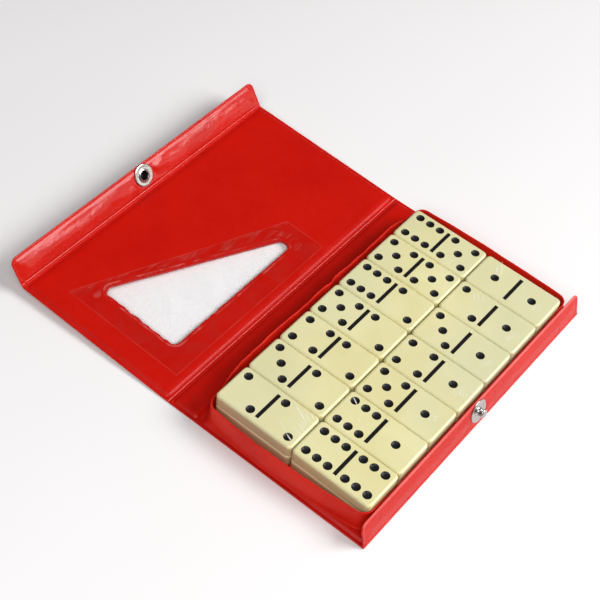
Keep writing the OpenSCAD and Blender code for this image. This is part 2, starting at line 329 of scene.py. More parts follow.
def panel(name, body, width, core_t, folds, step, materials, relief, cut=None, back=0.0, hem_width=0.0):
    """One vinyl panel: welded border with a bead, soft shoulder and a middle shaped by relief(u, v, core).

    folds is how many of its long edges are folds, 1 or 2.
    cut is a pair: closed loops round a hole, its own outline last but one, and the distance outside it.
    back is how strongly the outer face swells and leans in at its free hem.
    hem_width is how much of the panel's free end takes the second material, a lighter pink vinyl painted as
    the highlight along the hem.
    """
    u1 = LENGTH / 2
    v0 = 0.5
    v1 = width - 0.5 if folds == 2 else width
    r0 = 0.6
    r1 = 0.6 if folds == 2 else FLAP_R
    core_v0, core_u1 = FOLD_WELD, u1 - EDGE_WELD
    core_v1 = width - (FOLD_WELD if folds == 2 else EDGE_WELD)
    core_r = PANEL_R if folds == 2 else FLAP_R - 1.2

    along = min(step, 1.2)
    loops = [box_loop(u1, v0, v1, r0, r1, along)]
    for inset in (0.12, 0.3, 0.5, 0.74, 1.0):
        near_r, far_r = max(r0 - inset, 0.2), max(r1 - inset, 0.2)
        loops.append(box_loop(u1 - inset, v0 + inset, v1 - inset, near_r, far_r, along))
    for grow in (0.45, 0.1, -0.3, -0.8) if folds == 2 else (0.4, 0.05, -0.35, -0.8):
        grown_r = max(core_r + grow, 0.4)
        loops.append(box_loop(core_u1 + grow, core_v0 - grow, core_v1 + grow, grown_r, grown_r, along))
    if cut:
        loops += cut[0]

    def room(u, v):
        clear = inside_box(u, v, core_u1, core_v0, core_v1, core_r) > 0.8 + step * 0.5
        return clear & (cut[1](u, v) > 1.4) if cut else clear

    inner = grid_points(core_u1, core_v0, core_v1, step, room)
    if cut:
        uv, tris = with_hole(loops, inner)
    else:
        uv, tris = triangulated(loops, inner, lambda u, v: np.full(len(u), True))
    u, v = uv[:, 0], uv[:, 1]
    edge = inside_box(u, v, u1, v0, v1, r1)
    edge = np.minimum(edge, np.minimum(u1 - np.abs(u), np.minimum(v - v0, v1 - v)))
    core = inside_box(u, v, core_u1, core_v0, core_v1, core_r)
    rounding = 0.16 * (1 - np.clip(edge / 0.3, 0, 1)) ** 2
    rounding = np.where((v < v0 + 0.4) & (np.abs(u) < u1 - 0.5), 0, rounding)
    if folds == 2:
        rounding = np.where((v > v1 - 0.4) & (np.abs(u) < u1 - 0.5), 0, rounding)
    rise = smooth((core + 0.45) / 1.25)
    bead = 0.13 * np.exp(-((edge - 0.46) / 0.2) ** 2) - 0.08 * np.exp(-((edge - 0.98) / 0.22) ** 2)
    top = WELD_T + (core_t - WELD_T) * rise + relief(u, v, core) * smooth(core / 2.0) - rounding + bead
    bottom = rounding + 0.14 * np.exp(-((core + 0.1) / 0.28) ** 2)
    if back:
        hem = np.clip(1 - (v1 - v) / EDGE_WELD, 0, 1) * smooth((u1 - np.abs(u)) / 1.5)
        bottom += back * (0.36 * hem - 0.7 * relief(u, v, core) * smooth(core / 2.0))
        top += back * 0.12 * hem
    if cut:
        lip = smooth(cut[1](u, v) / 0.7)
        top -= 0.12 * (1 - lip)
        bottom = bottom + 0.1 * (1 - lip)
    obj = closed_slab(name, uv, tris, top, bottom, AT[body], materials, body)
    if hem_width:
        home = AT[body].inverted()
        for p in obj.data.polygons:
            c = home @ (p.center / MM)
            if c.y > v1 - hem_width:
                p.material_index = 1
    return obj


def with_hole(loops, inner):
    """Triangulation of loops whose last but one is a hole's outline: what lies inside it is left out."""
    cut = np.array(loops[-2])

    def stays(u, v):
        crossings = np.zeros(len(u), int)
        for k in range(len(cut)):
            a, b = cut[k], cut[(k + 1) % len(cut)]
            spans = (a[1] > v) != (b[1] > v)
            with np.errstate(divide="ignore", invalid="ignore"):
                at = a[0] + (v - a[1]) / (b[1] - a[1]) * (b[0] - a[0])
            crossings += spans & (u < at)
        return crossings % 2 == 0

    return triangulated(loops, inner, stays)


def fold_strip(name, at, angle):
    """Welded vinyl across one fold.

    at places the fold, and angle is the panels' angle at rest in degrees.
    """
    half = [0.09, 0.18, 0.28, 0.4, 0.55, 0.7, 0.8]
    s_values = np.array([-s for s in half[::-1]] + [0] + half)
    u_values = np.linspace(-LENGTH / 2 + 0.05, LENGTH / 2 - 0.05, 106)
    groove = 0.2 * np.exp(-((s_values / 0.2) ** 2))
    groove = groove - 0.06 * np.exp(-(((np.abs(s_values) - 0.42) / 0.12) ** 2))
    top = WELD_T - 0.02 - groove
    bottom = 0.02 + 0.1 * np.exp(-((s_values / 0.25) ** 2))
    rows = []
    for s, w in list(zip(s_values, top)) + list(zip(s_values[::-1], bottom[::-1])):
        share = smooth(np.array([(s + 0.7) / 1.4]))[0]
        bend = math.radians(angle) * share
        y, z = s, w - WELD_T
        rows.append((y * math.cos(bend) - z * math.sin(bend), y * math.sin(bend) + z * math.cos(bend)))
    ring = len(rows)
    verts = []
    for u in u_values:
        for y, z in rows:
            verts.append(at @ Vector((u, y, z)))
    faces = []
    for i in range(len(u_values) - 1):
        for k in range(ring):
            a, b = i * ring + k, i * ring + (k + 1) % ring
            faces.append((a, b, b + ring, a + ring))
    faces.append(tuple(range(ring))[::-1])
    last = (len(u_values) - 1) * ring
    faces.append(tuple(last + k for k in range(ring)))
    obj = new_object(name, verts, faces, [VINYL_OUT], None)
    obj.data.set_sharp_from_angle(angle=math.radians(60))
    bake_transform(obj)
    return obj


# ---------- Materials ----------


def material(name):
    """New node material with its shader and object coordinates."""
    m = bpy.data.materials.new(name)
    m.use_nodes = True
    tree = m.node_tree
    tree.nodes.clear()
    out = tree.nodes.new("ShaderNodeOutputMaterial")
    shader = tree.nodes.new("ShaderNodeBsdfPrincipled")
    tree.links.new(shader.outputs[0], out.inputs[0])
    coords = tree.nodes.new("ShaderNodeTexCoord").outputs["Object"]
    return m, tree, shader, coords


def noise_node(tree, coords, scale, detail=3.0, distortion=0.0, stretch=(1, 1, 1), roughness=0.5):
    mapping = tree.nodes.new("ShaderNodeMapping")
    mapping.inputs["Scale"].default_value = stretch
    tree.links.new(coords, mapping.inputs[0])
    tex = tree.nodes.new("ShaderNodeTexNoise")
    tex.inputs["Scale"].default_value = scale
    tex.inputs["Detail"].default_value = detail
    tex.inputs["Distortion"].default_value = distortion
    tex.inputs["Roughness"].default_value = roughness
    tree.links.new(mapping.outputs[0], tex.inputs["Vector"])
    return tex.outputs[0]


def voronoi_node(tree, coords, scale, feature="F1", stretch=(1, 1, 1)):
    mapping = tree.nodes.new("ShaderNodeMapping")
    mapping.inputs["Scale"].default_value = stretch
    tree.links.new(coords, mapping.inputs[0])
    tex = tree.nodes.new("ShaderNodeTexVoronoi")
    tex.feature = feature
    tex.inputs["Scale"].default_value = scale
    tree.links.new(mapping.outputs[0], tex.inputs["Vector"])
    return tex.outputs[0]


def ramp(tree, value, low, high, out_low, out_high):
    """Map a value range to another."""
    node = tree.nodes.new("ShaderNodeMapRange")
    for key, number in zip(("From Min", "From Max", "To Min", "To Max"), (low, high, out_low, out_high)):
        node.inputs[key].default_value = number
    tree.links.new(value, node.inputs["Value"])
    return node.outputs[0]


def mixed(tree, factor, a, b):
    """Colour a to b by factor; a colour is a tuple or a socket."""
    node = tree.nodes.new("ShaderNodeMix")
    node.data_type = "RGBA"
    tree.links.new(factor, node.inputs[0])
    for socket, value in ((node.inputs[6], a), (node.inputs[7], b)):
        if isinstance(value, tuple):
            socket.default_value = (*value, 1)
        else:
            tree.links.new(value, socket)
    return node.outputs[2]


def bumped(tree, shader, layers):
    """Chain of bump nodes: (height socket, strength, distance in metres)."""
    normal = None
    for height, strength, distance in layers:
        node = tree.nodes.new("ShaderNodeBump")
        node.inputs["Strength"].default_value = strength
        node.inputs["Distance"].default_value = distance
        tree.links.new(height, node.inputs["Height"])
        if normal is not None:
            tree.links.new(normal, node.inputs["Normal"])
        normal = node.outputs[0]
    tree.links.new(normal, shader.inputs["Normal"])
    if shader.inputs["Coat Weight"].default_value > 0:
        tree.links.new(normal, shader.inputs["Coat Normal"])


def vinyl(name, deep, light, rough, wave, crinkle, coat=0.25, gloss=0.5):
    """Glossy plasticised vinyl: cloudy colour, a slow wave, fine crinkles and a faint grain."""
    m, tree, shader, coords = material(name)
    cloud = noise_node(tree, coords, 38, 3, 0.4)
    tree.links.new(mixed(tree, ramp(tree, cloud, 0.35, 0.65, 0, 1), deep, light), shader.inputs["Base Color"])
    patch = noise_node(tree, coords, 210, 4, 1.2)
    tree.links.new(ramp(tree, patch, 0.3, 0.7, rough - 0.05, rough + 0.09), shader.inputs["Roughness"])
    shader.inputs["IOR"].default_value = 1.5
    shader.inputs["Specular IOR Level"].default_value = gloss
    shader.inputs["Coat Weight"].default_value = coat
    shader.inputs["Coat Roughness"].default_value = 0.14
    slow = noise_node(tree, coords, 55, 2, 0.6)
    folds = voronoi_node(tree, coords, 150, "SMOOTH_F1", (0.6, 1.3, 1.3))
    crumple = noise_node(tree, coords, 260, 3, 1.6, (0.7, 1.2, 1.2))
    grain = noise_node(tree, coords, 3800, 2)
    bumped(tree, shader, [
        (slow, wave, 0.0012), (folds, crinkle, 0.0009),
        (crumple, crinkle * 0.8, 0.0006), (grain, 0.05, 0.0001)])
    return m


VINYL_LID = vinyl("vinyl_lid", (0.52, 0.0045, 0.0006), (0.57, 0.006, 0.001), 0.36, 0.10, 0.02, 0.0, 0.26)
VINYL_OUT = vinyl("vinyl_outer", (0.54, 0.006, 0.002), (0.60, 0.010, 0.004), 0.32, 0.20, 0.12, 0.05, 0.35)
VINYL_FLAP = vinyl("vinyl_padded", (0.50, 0.008, 0.003), (0.56, 0.012, 0.006), 0.22, 0.30, 0.16, 0.0, 0.30)
# Lighter pink vinyl on the strip's hem: a painted highlight along its top edge.
VINYL_HEM_HIGHLIGHT = vinyl("vinyl_hem_highlight", (0.60, 0.045, 0.035), (0.68, 0.085, 0.072), 0.30, 0.15, 0.04, 0.0, 0.35)
VINYL_STRIP = vinyl("vinyl_strip", (0.50, 0.008, 0.003), (0.56, 0.012, 0.006), 0.30, 0.22, 0.04, 0.0, 0.16)
# Same red vinyl made lighter than the lid's: the extra brightness on the band's face is painted light.
VINYL_BAND_LIT = vinyl("vinyl_band_lit", (0.60, 0.010, 0.003), (0.68, 0.018, 0.007), 0.38, 0.20, 0.06, 0.0, 0.14)


def clear_film(name, dull, bright, clear, cloudy, grain=120, stretch=(1, 1, 1)):
    """Clear vinyl film: nearly invisible where it is flat, cloudy where it is welded or creased; the creases'
    lighter and darker streaks are painted highlight and shade.
    """
    m, tree, shader, coords = material(name)
    haze_and_sheen = noise_node(tree, coords, grain, 3, 0.8, stretch)
    tree.links.new(mixed(tree, ramp(tree, haze_and_sheen, 0.35, 0.65, 0, 1), dull, bright), shader.inputs["Base Color"])
    tree.links.new(ramp(tree, haze_and_sheen, 0.42, 0.66, clear, cloudy), shader.inputs["Alpha"])
    shader.inputs["Roughness"].default_value = 0.24
    shader.inputs["Specular IOR Level"].default_value = 0.2
    shader.inputs["IOR"].default_value = 1.45
    slow = noise_node(tree, coords, 90, 3, 1.0)
    fine = noise_node(tree, coords, 420, 3, 1.8, (0.5, 1.4, 1))
    bumped(tree, shader, [(slow, 0.35, 0.001), (fine, 0.25, 0.0004)])
    return m


def painted_wrap_glint():
    """Shrink wrap wrinkles made near-white and nearly opaque: painted glints where a wrinkle catches the
    light.
    """
    m, tree, shader, coords = material("painted_wrap_glint")
    haze_and_sheen = noise_node(tree, coords, 500, 2)
    tree.links.new(mixed(tree, haze_and_sheen, (1.0, 0.98, 0.82), (1.0, 1.0, 0.92)), shader.inputs["Base Color"])
    tree.links.new(ramp(tree, haze_and_sheen, 0.35, 0.65, 0.75, 1.0), shader.inputs["Alpha"])
    shader.inputs["Roughness"].default_value = 0.3
    shader.inputs["IOR"].default_value = 1.6
    shader.inputs["Coat Weight"].default_value = 1.0
    shader.inputs["Coat Roughness"].default_value = 0.28
    bumped(tree, shader, [(haze_and_sheen, 0.1, 0.0001)])
    return m


def ivory():
    """Polished cream plastic with faint clouds and scratches, and greyish patches painted as the shrink
    wrap's reflection.
    """
    m, tree, shader, coords = material("ivory_tile")
    cloud = noise_node(tree, coords, 45, 4, 0.6)
    wrap_reflection = noise_node(tree, coords, 16, 2)
    cream = mixed(tree, ramp(tree, cloud, 0.3, 0.7, 0, 1), (0.73, 0.67, 0.34), (0.79, 0.74, 0.42))
    # Greyish patches: painted reflection of the shrink wrap on the tiles.
    colour = mixed(tree, ramp(tree, wrap_reflection, 0.42, 0.68, 0, 0.75), cream, (0.66, 0.65, 0.42))
    tree.links.new(colour, shader.inputs["Base Color"])
    scuff = noise_node(tree, coords, 900, 4, 2.0, (1, 0.25, 1))
    tree.links.new(ramp(tree, scuff, 0.35, 0.7, 0.28, 0.42), shader.inputs["Roughness"])
    shader.inputs["IOR"].default_value = 1.49
    shader.inputs["Subsurface Weight"].default_value = 0.12
    shader.inputs["Subsurface Radius"].default_value = (1.0, 0.8, 0.45)
    shader.inputs["Subsurface Scale"].default_value = 0.0016
    shader.inputs["Coat Weight"].default_value = 0.35
    shader.inputs["Coat Roughness"].default_value = 0.12
    wave = noise_node(tree, coords, 110, 2)
    bumped(tree, shader, [(wave, 0.05, 0.0006), (scuff, 0.03, 0.0002)])
    return m


def black_paint():
    m, tree, shader, coords = material("black_paint")
    spread = noise_node(tree, coords, 700, 3)
    colour = mixed(tree, spread, (0.006, 0.006, 0.007), (0.014, 0.013, 0.014))
    tree.links.new(colour, shader.inputs["Base Color"])
    shader.inputs["Roughness"].default_value = 0.38
    shader.inputs["Specular IOR Level"].default_value = 0.25
    bumped(tree, shader, [(spread, 0.12, 0.0002)])
    return m


def plated_metal():
    m, tree, shader, coords = material("plated_metal")
    wear = noise_node(tree, coords, 600, 4, 1.0)
    tree.links.new(mixed(tree, wear, (0.36, 0.35, 0.33), (0.50, 0.49, 0.48)), shader.inputs["Base Color"])
    tree.links.new(ramp(tree, wear, 0.3, 0.7, 0.16, 0.30), shader.inputs["Roughness"])
    shader.inputs["Metallic"].default_value = 1.0
    bumped(tree, shader, [(noise_node(tree, coords, 1400, 2), 0.03, 0.0001)])
    return m


def painted_shade_metal():
    """Near-black metal for the inside of the socket's bore and the cap seen through it: painted shade."""
    m, tree, shader, coords = material("painted_shade_metal")
    shade_mottle = noise_node(tree, coords, 900, 3)
    colour = mixed(tree, shade_mottle, (0.018, 0.014, 0.013), (0.05, 0.04, 0.038))
    tree.links.new(colour, shader.inputs["Base Color"])
    shader.inputs["Metallic"].default_value = 0.6
    shader.inputs["Roughness"].default_value = 0.4
    bumped(tree, shader, [(shade_mottle, 0.1, 0.0002)])
    return m


FILM = clear_film("clear_film", (0.06, 0.01, 0.01), (0.15, 0.07, 0.07), 0.05, 0.085)
FILM_OPEN = clear_film("clear_film_loose", (0.72, 0.73, 0.76), (0.97, 0.97, 0.98), 0.06, 0.13, 45)
FILM_EDGE = clear_film("clear_film_edge", (0.70, 0.10, 0.09), (0.80, 0.18, 0.16), 0.16, 0.24, 60)
FILM_WELD = clear_film("clear_film_weld", (0.50, 0.02, 0.02), (0.85, 0.22, 0.20), 0.04, 0.36, 110)
# Crease streaks, lighter and darker than the lid beneath: painted highlight and shade on the film's ripples.
FILM_CREASE_LIGHT_SHADE = clear_film(
    "clear_film_crease_light_shade", (0.20, 0.01, 0.01), (0.72, 0.14, 0.12), 0.04, 0.36, 210, (0.3, 1.6, 1))
IVORY = ivory()
BLACK = black_paint()
METAL = plated_metal()
# Near-black metal: painted shade inside the socket's bore.
PAINTED_SHADE_METAL = painted_shade_metal()

# ---------- Panels ----------


def calm(u, v, core):
    """Nearly flat card under vinyl: slow waves, a soft crown."""
    return 0.10 * fractal(u, v, 38, 1.7, 2) + 0.05 * smooth(core / 12)


def puffy(seed, centre_v, crease):
    """Thin padding under loose vinyl: a crown along the panel, creases, and folds that run to the snap."""

    def relief(u, v, core):
        crown = 0.55 * smooth(core / 5.0)
        broad = crease * fractal(u * 0.30, v * 0.9, 6.0, seed, 2)
        folds = broad + 0.3 * crease * fractal(u * 0.8, v * 1.2, 3.0, seed + 3, 2)
        reach = np.hypot(u, v - centre_v)
        angle = np.arctan2(v - centre_v, u)
        rays = 0.26 * np.sin(angle * 7 + 1.3) * np.exp(-((reach - 9) / 6) ** 2)
        flat = smooth((reach - 5.5) / 2.5)
        return (crown + folds + rays) * flat

    return relief


def round_cut(centre_v, r):
    """A round hole through a panel, as panel() takes it."""

    def loop(radius):
        turns = [2 * math.pi * k / 40 for k in range(40)]
        return [(radius * math.cos(a), centre_v + radius * math.sin(a)) for a in turns]

    return [loop(r), loop(r + 0.5)], lambda u, v: np.hypot(u, v - centre_v) - r


base_panel = panel("base_panel", "base", BASE_W, PANEL_T, 2, 2.0, [VINYL_LID], calm)
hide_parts("base_outer_skin", "base_board", "base_inner_skin")
spine_panel = panel("spine_panel", "spine", SPINE_W, PANEL_T, 2, 1.3, [VINYL_LID],
                    lambda u, v, core: 0.12 * fractal(u * 0.5, v, 9, 4.1, 3) + 0.1 * smooth(core / 5))
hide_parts("spine_outer_skin", "spine_board", "spine_inner_skin")
lid_panel = panel("lid_panel", "lid", LID_W, PANEL_T, 2, 1.9, [VINYL_LID], calm,
                  ([window_loop(1.0, ragged=0.5), window_loop(1.2, grow=0.7)], from_window))
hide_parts("lid_outer_skin", "lid_board", "lid_inner_skin")
flap_panel = panel("flap_panel", "flap", FLAP_H, FLAP_T, 1, 0.8, [VINYL_FLAP],
                   puffy(2.3, SOCKET_V, 0.24), round_cut(SOCKET_V, 2.45), back=0.6)
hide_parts("flap_outer_skin", "flap_foam", "flap_inner_skin")
strip_panel = panel("strip_panel", "front_strip", STRIP_H, FLAP_T, 1, 0.8, [VINYL_STRIP, VINYL_HEM_HIGHLIGHT],
                    puffy(7.9, STUD_V, 0.12), back=0.6, hem_width=1.45)
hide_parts("strip_outer_skin", "strip_foam", "strip_inner_skin")


def fold_frame(y, z, tilt):
    return Matrix.Translation((0, y, z)) @ Matrix.Rotation(math.radians(tilt), 4, "X")


fold_strip("fold_spine", fold_frame(SPINE_Y, WELD_T, 0), 0)
fold_strip("fold_lid", fold_frame(LID_Y, WELD_T, 0), LID_RISE)
fold_strip("fold_flap", fold_frame(FLAP_Y, FLAP_Z, LID_RISE), FLAP_RISE)


def front_fold():
    """The front fold runs from base to strip and bends the other way, so its frame is turned round."""
    turn = 90 + STRIP_LEAN
    at = Matrix.Translation((0, FRONT_Y, WELD_T)) @ Matrix.Rotation(math.pi, 4, "Z")
    return fold_strip("fold_front", at, turn)


front_fold()

# ---------- Window film ----------


def window_film():
    """Clear film welded round the window: flat on the lid, sunk a little over the hole.

    Its top stays below the CAD film's, because the tiles lie against it in the closed case.
    """
    long, tall, short = WINDOW_L + 2 * FILM_MARGIN, WINDOW_H + 2 * FILM_MARGIN, 2 * FILM_MARGIN
    u0, v0 = WINDOW_U - FILM_MARGIN, WINDOW_V - FILM_MARGIN
    corners = [(u0, v0), (u0 + long, v0), (u0 + long, v0 + short), (u0, v0 + tall)]
    slope = (tall - short) / long
    rim = 0.35
    drop = rim * math.hypot(1, slope)
    inset = [
        (u0 + rim, v0 + rim),
        (u0 + long - rim, v0 + rim),
        (u0 + long - rim, v0 + short + slope * rim - drop),
        (u0 + rim, v0 + tall - slope * rim - drop),
    ]
    loops = [filled(corners, 1.2), filled(inset, 1.2)]
    loops += [window_loop(1.1, grow=grow) for grow in (-0.8, 0.5, 1.1, 1.7)]
    loops.append(window_loop(1.2, grow=2.6))

    def in_patch(u, v, margin):
        within = (u > u0 + margin) & (u < u0 + long - margin) & (v > v0 + margin)
        return within & (v < v0 + tall - slope * (u - u0) - margin * 1.1)

    def room(u, v):
        gap = from_window(u, v)
        return in_patch(u, v, 0.8) & ((gap < -1.6) | (gap > 3.3))

    inner = grid_points(LENGTH / 2, v0, v0 + tall, 1.6, room)
    uv, tris = triangulated(loops, inner, lambda u, v: in_patch(u, v, 0))
    u, v = uv[:, 0], uv[:, 1]
    gap = from_window(u, v)
    wave = fractal(u, v, 7, 5.5, 3)
    over = smooth((gap + 0.5) / 1.0)
    sunk = (1 - over) * (0.16 - 0.12 * wave * smooth(-gap / 6))
    face = PANEL_T + 0.05 + 0.10 * fractal(u, v, 38, 1.7, 2) - sunk
    low = face - 0.04
    top = np.minimum(face + 0.05, PANEL_T + FILM_T - 0.015)
    looks = [FILM, FILM_OPEN, FILM_WELD, FILM_CREASE_LIGHT_SHADE, FILM_EDGE]
    obj = closed_slab("window_film_sheet", uv, tris, top, low, AT["lid"], looks, "lid")
    home = AT["lid"].inverted()
    for p in obj.data.polygons:
        c = home @ (p.center / MM)
        away = from_window(np.array([c.x]), np.array([c.y]))[0]
        upper = (v0 + tall - slope * (c.x - u0)) - c.y
        slanted = c.y > WINDOW_V + WINDOW_H - (c.x - WINDOW_U) * WINDOW_H / WINDOW_L - 3
        edge_zone = min(c.x - u0, u0 + long - c.x, c.y - v0, upper / math.hypot(1, slope))
        if away < -0.4:
            p.material_index = looks.index(FILM_OPEN)
        elif 0.8 < away < 1.6:
            p.material_index = looks.index(FILM_WELD)
        elif edge_zone < rim:
            p.material_index = looks.index(FILM_EDGE)
        # Along the slanted edge the film takes the streaks of painted highlight and shade.
        elif slanted and (2.6 < away < 6.2 or upper < 1.8):
            p.material_index = looks.index(FILM_CREASE_LIGHT_SHADE)
    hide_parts("window_film")
    return obj


film = window_film()

# ---------- Tray band ----------

TRAY_LOW, TRAY_HIGH = mm_box("tray_band")
TRAY_Y = (TRAY_LOW[1] + TRAY_HIGH[1]) / 2
HALF_X = TRAY_HIGH[0] - 0.35
HALF_Y = (TRAY_HIGH[1] - TRAY_LOW[1]) / 2 - 0.35
NEAR_SAG = 4.6
FRONT_DROP = 2.4
HEIGHTS = np.array([
    0, 0.02, 0.05, 0.1, 0.17, 0.25, 0.34, 0.44, 0.54, 0.64, 0.73, 0.81, 0.88, 0.93, 0.965, 0.985, 1.0])


def rounded_path(step):
    """Points and outward normals along the band's middle line, anticlockwise from the near spine corner."""
    r = TRAY_R
    out = []
    corners = [
        (-HALF_X + r, HALF_Y - r, 90),
        (-HALF_X + r, -HALF_Y + r, 180),
        (HALF_X - r, -HALF_Y + r, 270),
        (HALF_X - r, HALF_Y - r, 0),
    ]
    for k, (cx, cy, start) in enumerate(corners):
        for i in range(9):
            angle = math.radians(start + 90 * i / 8)
            out.append((cx + r * math.cos(angle), cy + r * math.sin(angle), math.cos(angle), math.sin(angle)))
        if k < 3:
            nxt = corners[k + 1]
            angle = math.radians(start + 90)
            a = np.array([cx + r * math.cos(angle), cy + r * math.sin(angle)])
            b = np.array([nxt[0] + r * math.cos(angle), nxt[1] + r * math.sin(angle)])
            count = int(np.linalg.norm(b - a) / step)
            for i in range(1, count):
                p = a + (b - a) * i / count
                out.append((p[0], p[1], math.cos(angle), math.sin(angle)))
    return out


def back_path(step):
    """Points and normals along the band's straight side by the spine, far end first."""
    x1 = HALF_X - TRAY_R
    return [(x, HALF_Y, 0.0, 1.0) for x in np.linspace(x1, -x1, int(2 * x1 / step) + 1)]


def band_offset(x, y, nx, ny, h):
    """How far the band stands out from its straight place, in millimetres, at height share h."""
    wobble = noise.noise(Vector((x * 0.06, y * 0.06, h * 1.5)))
    ripple = noise.noise(Vector((x * 0.19, y * 0.19, 4 + h * 2.0)))
    end_share = max(0.0, 1 - (abs(y + 4) / (HALF_Y - 1)) ** 2.4) * abs(nx)
    if nx < -0.5:
        return end_share * (0.5 * math.sin(math.pi * h) + (0.5 * wobble + 0.25 * ripple) * h)
    if nx > 0.5:
        return end_share * (1.2 * h ** 0.75 + 0.36 * math.sin(math.pi * h) + 0.3 * wobble * h)
    if ny > 0.5:
        side_share = smooth(np.array([(HALF_X - TRAY_R - abs(x)) / 16]))[0]
        crease = math.exp(-(((x - 9) / 2.2) ** 2)) * 0.9
        return side_share * (h ** 1.3) * (3.4 + 0.7 * wobble + 0.35 * ripple - crease)
    return 0.05 * ripple * h


def near_shift(x, y, h):
    """The band's near end sags out to the base's edge, most towards the spine side."""
    t = (y + HALF_Y) / (2 * HALF_Y)
    peak = 0.62
    if t < peak:
        most = NEAR_SAG - 4.0 * ((peak - t) / peak) ** 2.2
    else:
        most = NEAR_SAG - 1.9 * ((t - peak) / 0.38) ** 2.2
    share = smooth(np.array([(-x - (HALF_X - 16)) / 16]))[0]
    return -most * share * (1.0 - 0.2 * h)


def band_wall(name, path, squashed):
    """Upright vinyl wall along a path: thin, with a small flared foot and a rounded, thicker rim."""
    z0, z1 = TRAY_LOW[2], TRAY_HIGH[2]
    ring = len(HEIGHTS) * 2
    verts = []
    for x, y, nx, ny in path:
        profile = []
        for h in HEIGHTS:
            out = band_offset(x, y, nx, ny, h)
            foot = 0.5 * (1 - min(1, h / 0.06)) ** 2
            half = TRAY_WALL / 2 * (1.0 if h < 0.9 else 1.15)
            half *= math.sqrt(max(0.04, 1 - max(0, (h - 0.955) / 0.045) ** 2))
            sag = (0.25 * noise.noise(Vector((x * 0.11, y * 0.11, 8.0))) - 0.22 * abs(out)) * h
            if ny < -0.5:
                sag -= FRONT_DROP * h * smooth(np.array([(HALF_X - TRAY_R - abs(x)) / 12]))[0]
            profile.append((out, half, foot, z0 + (z1 - z0 - 0.3) * h + sag))
        slid = [near_shift(x, y, h) for h in HEIGHTS]
        outer, inner = [], []
        for e, (o, t, f, z) in zip(slid, profile):
            outer.append((x + e + nx * (o + t + f), y + ny * (o + t + f), z))
            inner.append((x + e + nx * (o - t), y + ny * (o - t), z))
        verts += [(px, py + TRAY_Y, pz) for px, py, pz in outer + inner[::-1]]
    faces = []
    for i in range(len(path) - 1):
        for k in range(ring):
            a, b = i * ring + k, i * ring + (k + 1) % ring
            faces.append((a, a + ring, b + ring, b))
    faces.append(tuple(range(ring)))
    last = (len(path) - 1) * ring
    faces.append(tuple(last + k for k in range(ring))[::-1])
    obj = new_object(name, verts, faces, [VINYL_BAND_LIT], "base")
    obj.data.set_sharp_from_angle(angle=math.radians(60))
    if squashed:
        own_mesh(obj)
    return obj


band = band_wall("tray_band_ends", rounded_path(1.6), False)
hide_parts("tray_band")
band_wall("tray_band_back", back_path(1.6), True)

# ---------- Snap ----------


def lathe(name, body, centre_v, profile, replaced, shade_zone=None):
    """Turned metal piece on a panel. profile is (radius, w) pairs, and ends where it starts.

    The last argument is the (radius, height) below which a face takes the near-black metal, painted shade for
    the bore.
    """
    turns = 64
    verts, faces = [], []
    ring = []
    for r, w in profile[:-1]:
        if r < 1e-6:
            ring.append([len(verts)])
            verts.append((0, centre_v, w))
            continue
        ring.append(list(range(len(verts), len(verts) + turns)))
        for k in range(turns):
            angle = 2 * math.pi * k / turns
            verts.append((r * math.cos(angle), centre_v + r * math.sin(angle), w))
    for a, b in zip(ring, ring[1:] + ring[:1]):
        if len(a) == 1 and len(b) == 1:
            continue
        for k in range(turns):
            n = (k + 1) % turns
            if len(a) == 1:
                faces.append((a[0], b[k], b[n]))
            elif len(b) == 1:
                faces.append((a[n], a[k], b[0]))
            else:
                faces.append((a[k], b[k], b[n], a[n]))
    matrix = AT[body]
    obj = new_object(name, [matrix @ Vector(p) for p in verts], faces, [METAL, PAINTED_SHADE_METAL], body)
    # Faces inside the bore take the near-black metal as painted shade.
    if shade_zone:
        for p, corners in zip(obj.data.polygons, faces):
            middle = np.mean([verts[c] for c in corners], axis=0)
            if math.hypot(middle[0], middle[1] - centre_v) < shade_zone[0] and middle[2] < shade_zone[1]:
                p.material_index = 1
    obj.data.set_sharp_from_angle(angle=math.radians(38))
    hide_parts(*replaced)
    return obj


SNAP_R = (SOCKET[1][0] - SOCKET[0][0]) / 2
BORE_R = 2.2
CAP_R = 5.3
face = FLAP_T
lathe("socket_ring", "flap", SOCKET_V, [
    (SNAP_R - 0.25, face + 0.02), (SNAP_R - 0.05, face + 0.12), (SNAP_R, face + 0.3),
    (SNAP_R - 0.12, face + 0.5), (SNAP_R - 0.45, face + 0.62), (SNAP_R - 0.9, face + 0.6),
    (SNAP_R - 1.5, face + 0.5), (BORE_R + 0.9, face + 0.52), (BORE_R + 0.65, face + 0.62),
    (BORE_R + 0.45, face + 0.76), (BORE_R + 0.2, face + 0.78), (BORE_R + 0.02, face + 0.66),
    (BORE_R, face + 0.4), (BORE_R, 0.05), (BORE_R + 0.55, 0.05), (BORE_R + 0.55, face + 0.02),
    (SNAP_R - 0.25, face + 0.02)],
    ["snap_socket"], (BORE_R + 0.01, FLAP_T + 0.55))
lathe("flap_cap", "flap", SOCKET_V, [
    (BORE_R, -0.02), (BORE_R, -1.35), (0, -1.38), (0, -1.78), (1.6, -1.8), (2.8, -1.72), (3.8, -1.5),
    (4.6, -1.15), (CAP_R - 0.35, -0.75), (CAP_R - 0.1, -0.5), (CAP_R, -0.3), (CAP_R - 0.06, -0.1),
    (CAP_R - 0.25, -0.02), (BORE_R, -0.02)],
    ["snap_cap"], (BORE_R + 0.1, -0.03))
